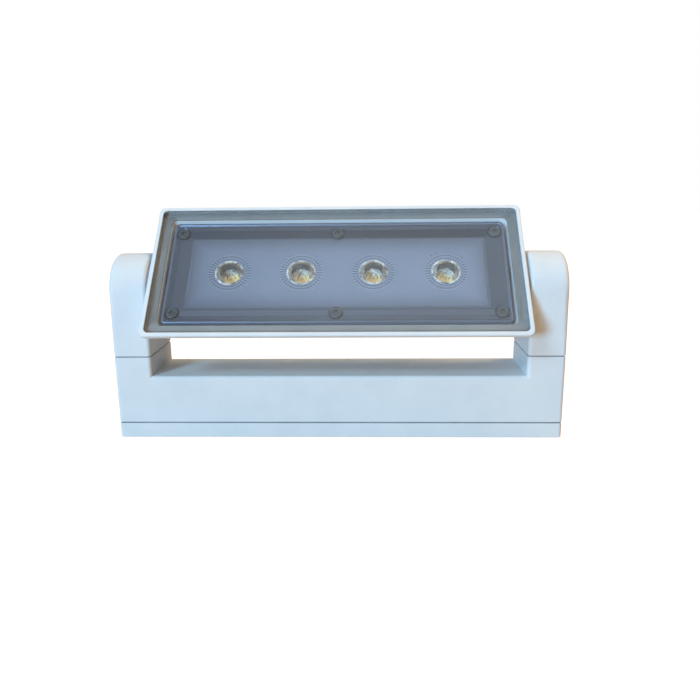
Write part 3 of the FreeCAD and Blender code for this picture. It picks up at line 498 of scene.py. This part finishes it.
across = grid_lines(tray_half_x, fine_x)
along = grid_lines(tray_half_z, fine_z)
shape = bmesh.new()
shade_mark = shape.verts.layers.float.new("painted_shade")
rows = []
for grid_z in along:
    row = []
    for grid_x in across:
        x, z = tray_point(grid_x, grid_z)
        made = shape.verts.new((x, glass_face + tray_level(x, z), z))
        made[shade_mark] = tray_painted_shade(x, z)
        row.append(made)
    rows.append(row)
for low_row, high_row in zip(rows, rows[1:]):
    for k in range(len(across) - 1):
        cell = (low_row[k], low_row[k + 1], high_row[k + 1], high_row[k])
        mid_x = sum(vert.co.x for vert in cell) / 4
        mid_z = sum(vert.co.z for vert in cell) / 4
        if all(math.hypot(mid_x - centre, mid_z) >= window_radius for centre in lens_centres):
            shape.faces.new(cell)
bmesh.ops.remove_doubles(shape, verts=shape.verts, dist=tray_weld)
loose = [vert for vert in shape.verts if not vert.link_faces]
bmesh.ops.delete(shape, geom=loose, context="VERTS")
open_edges = [edge for edge in shape.edges if edge.is_boundary]
for edge in open_edges:
    edge.smooth = False
skirt = bmesh.ops.extrude_edge_only(shape, edges=open_edges)
for item in skirt["geom"]:
    if isinstance(item, bmesh.types.BMVert):
        item.co.y = skirt_back
# The lacquer is darkened by the grid's painted shade and lightened by its painted highlights.
tray_paint = finish_material("tray_paint", ((141, 160, 189), (144, 163, 192)), (0.29, 0.32),
                             grain=0.0009, relief=0.0000005, metallic=0.85)
paint_shade_by_mark(tray_paint)
tray = add_head_piece("tray", shape, tray_paint)
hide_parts("lens_tray")


# Tray screws: six zinc-plated steel pan heads in the tray's round seats. They draw the tray
# down on the lenses, which press the holders on the board.
zinc_dull = finish_material("zinc_dull", ((60, 71, 76), (78, 89, 95)), (0.28, 0.4),
                            grain=0.0003, relief=0.000006, metallic=0.5)
dress(zinc_dull, "tray_screws")


# Front glass and its bedding: a 4 mm pane of toughened clear glass, flush in the head's rim,
# laid from the front on a pale silicone frame, which seals it.
front_pane = clear_material("front_pane", (0.95, 0.975, 0.985, 1.0), ior=1.5, rough=(0.0, 0.03))
silicone_pale = finish_material("silicone_pale", ((132, 136, 139), (142, 146, 149)), (0.5, 0.65),
                                grain=0.0007, relief=0.00001)
dress(front_pane, "front_glass")
dress(silicone_pale, "glass_seal")


# Stage: a plain white floor and soft studio light. It is cool from two windows at the front left
# and weaker and warm from low in front and from above at the right, with a soft panel overhead
# and a narrow fill behind.
light_middle = (0.0, 0.0, 0.08)


def from_light(azimuth, elevation, distance):
    """A point seen from the light's middle, azimuth to the right of straight ahead, in degrees."""
    side, rise = math.radians(azimuth), math.radians(elevation)
    return (distance * math.sin(side) * math.cos(rise),
            -distance * math.cos(side) * math.cos(rise),
            light_middle[2] + distance * math.sin(rise))


def area_lamp(name, place, size, power, colour):
    """A rectangular soft lamp that faces the light's middle."""
    data = bpy.data.lights.new(name, "AREA")
    data.shape = "RECTANGLE"
    data.size, data.size_y = size
    data.energy = power
    data.color = colour
    lamp = bpy.data.objects.new(name, data)
    bpy.context.scene.collection.objects.link(lamp)
    lamp.location = place
    toward = Vector(light_middle) - Vector(place)
    lamp.rotation_euler = toward.to_track_quat("-Z", "Y").to_euler()
    return lamp


window_left = area_lamp("window_left", from_light(-31, 8, 5.0), size=(1.0, 1.0), power=161.0,
                        colour=(0.405, 0.755, 1.05))
window_top = area_lamp("window_top", from_light(-33, 33, 5.0), size=(1.3, 0.7), power=86.0,
                       colour=(0.46, 0.77, 1.0))
warm_above = area_lamp("warm_above", from_light(105, 60, 1.6), size=(0.6, 0.6), power=16.0,
                       colour=(1.0, 0.68, 0.38))
warm_low = area_lamp("warm_low", from_light(0, 13, 1.8), size=(0.8, 0.3), power=6.6,
                     colour=(1.0, 0.54, 0.20))
back_fill = area_lamp("back_fill", from_light(180, 2, 3.0), size=(0.3, 0.3), power=26.0,
                      colour=(0.76, 0.90, 1.0))
back_fill.visible_camera = False
window_left.visible_transmission = False
for lamp in (window_top, warm_low, warm_above, back_fill):
    lamp.visible_glossy = False
    lamp.visible_transmission = False

panel_climb, panel_core, panel_edge = math.radians(75), math.radians(3), math.radians(11)
panel_side, panel_core_side, panel_edge_side = 0.05, 0.08, 0.56
panel_tone = (1.22, 1.26, 1.30, 1.0)
rear_climb, rear_core, rear_edge = math.radians(98), math.radians(3), math.radians(16)
rear_share = 0.24
room_left, room_right = (0.19, 0.20, 0.21, 1.0), (0.05, 0.028, 0.010, 1.0)
world = bpy.data.worlds.new("studio")
bpy.context.scene.world = world
world.use_nodes = True
sky_add, sky_link = node_tools(world.node_tree)
way = sky_add("ShaderNodeTexCoord")
split = sky_add("ShaderNodeSeparateXYZ")
sky_link(way.outputs["Generated"], split.inputs["Vector"])


def sky_math(operation, first, second=0.0):
    """One step of arithmetic in the world's nodes; each input is a socket or a number."""
    made = sky_add("ShaderNodeMath", operation=operation)
    for socket, given in zip(made.inputs, (first, second)):
        if isinstance(given, (int, float)):
            socket.default_value = given
        else:
            sky_link(given, socket)
    return made.outputs["Value"]


def fading(source, full, none):
    """1 where the source is below full and 0 above none, with a smooth change between.

    With none below full it is the other way round."""
    made = sky_add("ShaderNodeMapRange", interpolation_type="SMOOTHSTEP", From_Min=none,
                   From_Max=full)
    sky_link(source, made.inputs["Value"])
    return made.outputs["Result"]


def fading_about(source, middle, full, none):
    """1 within full of the middle and 0 beyond none, to either side of it."""
    return fading(sky_math("ABSOLUTE", sky_math("SUBTRACT", source, middle)), full, none)


def sky_mix(share, second_colour):
    """A mixer of two colours by a socket, with the second set and the first left to set."""
    made = sky_add("ShaderNodeMix", data_type="RGBA")
    made.inputs[mix_second].default_value = second_colour
    sky_link(share, made.inputs["Factor"])
    return made


# The panel overhead and a weaker one behind it, found by how far a direction climbs from
# straight ahead, in a room that is darker and browner at the right.
ahead = sky_math("MULTIPLY", split.outputs["Y"], -1.0)
climb = sky_math("ARCTAN2", split.outputs["Z"], ahead)
panel = sky_math("MULTIPLY", fading_about(climb, panel_climb, panel_core, panel_edge),
                 fading_about(split.outputs["X"], panel_side, panel_core_side, panel_edge_side))
rear_panel = sky_math("MULTIPLY", fading_about(climb, rear_climb, rear_core, rear_edge),
                      rear_share)
room = sky_mix(fading(split.outputs["X"], full=-0.5, none=0.5), room_left)
room.inputs[mix_first].default_value = room_right
tone = sky_mix(sky_math("MAXIMUM", panel, rear_panel), panel_tone)
sky_link(room.outputs[mix_result], tone.inputs[mix_first])
soft = sky_add("ShaderNodeBackground", Strength=1.0)
sky_link(tone.outputs[mix_result], soft.inputs["Color"])

# The white background, seen by the camera, and by metal and glass near the level, far to the
# sides and at the rear.
white = sky_add("ShaderNodeBackground", Color=(1.0, 1.0, 1.0, 1.0), Strength=1.0)
ray = sky_add("ShaderNodeLightPath")
level_way = fading(sky_math("ABSOLUTE", split.outputs["Z"]), full=0.10, none=0.30)
side_way = fading(sky_math("ABSOLUTE", split.outputs["X"]), full=0.80, none=0.50)
rear_way = fading(split.outputs["Y"], full=0.60, none=0.25)
around = sky_math("MAXIMUM", level_way, sky_math("MAXIMUM", side_way, rear_way))
mirrored = sky_math("MAXIMUM", ray.outputs["Is Glossy Ray"], ray.outputs["Is Transmission Ray"])
white_share = sky_math("MAXIMUM", ray.outputs["Is Camera Ray"],
                       sky_math("MULTIPLY", mirrored, around))
pick = sky_add("ShaderNodeMixShader")
sky_link(white_share, pick.inputs[0])
sky_link(soft.outputs["Background"], pick.inputs[1])
sky_link(white.outputs["Background"], pick.inputs[2])
sky_output = sky_add("ShaderNodeOutputWorld")
sky_link(pick.outputs["Shader"], sky_output.inputs["Surface"])

# The floor lies just under the wall plate. Its warm paper sends warm light up at the model,
# and it is lifted to white for the eye, also in mirror images and through glass.
floor_half = 3.0
floor_level = -0.0005
floor_lift = 0.88
floor_corners = [(side_x * floor_half, side_y * floor_half, floor_level)
                 for side_x, side_y in ((-1, -1), (1, -1), (1, 1), (-1, 1))]
floor_mesh = bpy.data.meshes.new("floor")
floor_mesh.from_pydata(floor_corners, [], [(0, 1, 2, 3)])
floor = bpy.data.objects.new("floor", floor_mesh)
bpy.context.scene.collection.objects.link(floor)
floor_white, add, link = new_material("floor_white")
paper = add("ShaderNodeBsdfDiffuse", Color=(0.56, 0.40, 0.24, 1.0))
lift = add("ShaderNodeEmission", Color=(1.0, 1.0, 1.06, 1.0))
eye = add("ShaderNodeLightPath")
mirror_or_glass = add("ShaderNodeMath", operation="MAXIMUM")
link(eye.outputs["Is Glossy Ray"], mirror_or_glass.inputs[0])
link(eye.outputs["Is Transmission Ray"], mirror_or_glass.inputs[1])
seen_ray = add("ShaderNodeMath", operation="MAXIMUM")
link(eye.outputs["Is Camera Ray"], seen_ray.inputs[0])
link(mirror_or_glass.outputs["Value"], seen_ray.inputs[1])
lift_for_eye = add("ShaderNodeMath", operation="MULTIPLY")
lift_for_eye.inputs[1].default_value = floor_lift
link(seen_ray.outputs["Value"], lift_for_eye.inputs[0])
link(lift_for_eye.outputs["Value"], lift.inputs["Strength"])
both = add("ShaderNodeAddShader")
link(paper.outputs["BSDF"], both.inputs[0])
link(lift.outputs["Emission"], both.inputs[1])
floor_output = add("ShaderNodeOutputMaterial")
link(both.outputs["Shader"], floor_output.inputs["Surface"])
floor_mesh.materials.append(floor_white)

bpy.context.scene.view_settings.view_transform = "Standard"
